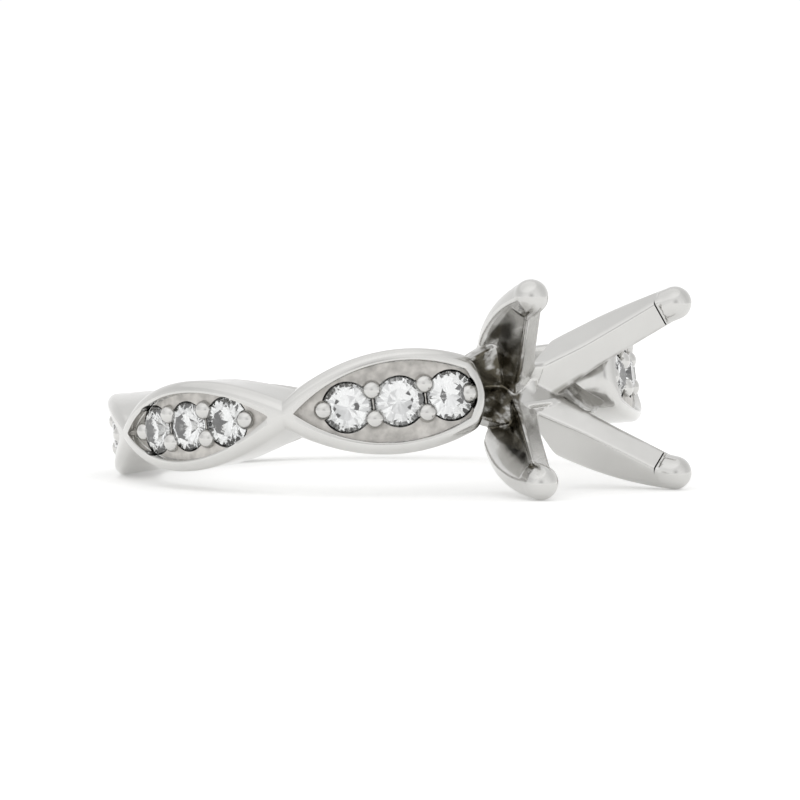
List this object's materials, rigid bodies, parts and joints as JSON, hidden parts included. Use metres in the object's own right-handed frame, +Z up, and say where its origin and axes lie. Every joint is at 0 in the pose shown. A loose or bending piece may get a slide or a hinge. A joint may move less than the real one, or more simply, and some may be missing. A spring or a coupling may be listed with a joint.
{
  "type": "semi mount ring setting",
  "caption": "Finger ring with lens-shaped jewelled panels along its shank and an empty four-prong head for a round centre stone, lying on its side.",
  "frame": {"origin": "centre of the footprint, on the surface the ring lies on", "axes": "+X from the back of the band towards the head, +Z up from the surface, +Y towards the far side; the finger hole's axis leans 7.3 degrees from +Z"},
  "size_m": [0.0238, 0.021, 0.0077],
  "materials": {
    "metal": "polished white gold",
    "stone": "clear, cut in facets"
  },
  "bodies": {
    "root": {"shank_and_head": "metal", "stone_near_1": "stone", "stone_near_2": "stone", "stone_near_3": "stone", "stone_near_4": "stone", "stone_near_5": "stone", "stone_near_6": "stone", "stone_near_7": "stone", "stone_near_8": "stone", "stone_near_9": "stone", "stone_far_1": "stone", "stone_far_2": "stone", "stone_far_3": "stone", "stone_far_4": "stone", "stone_far_5": "stone", "stone_far_6": "stone", "stone_far_7": "stone", "stone_far_8": "stone", "stone_far_9": "stone"}
  },
  "joints": []
}
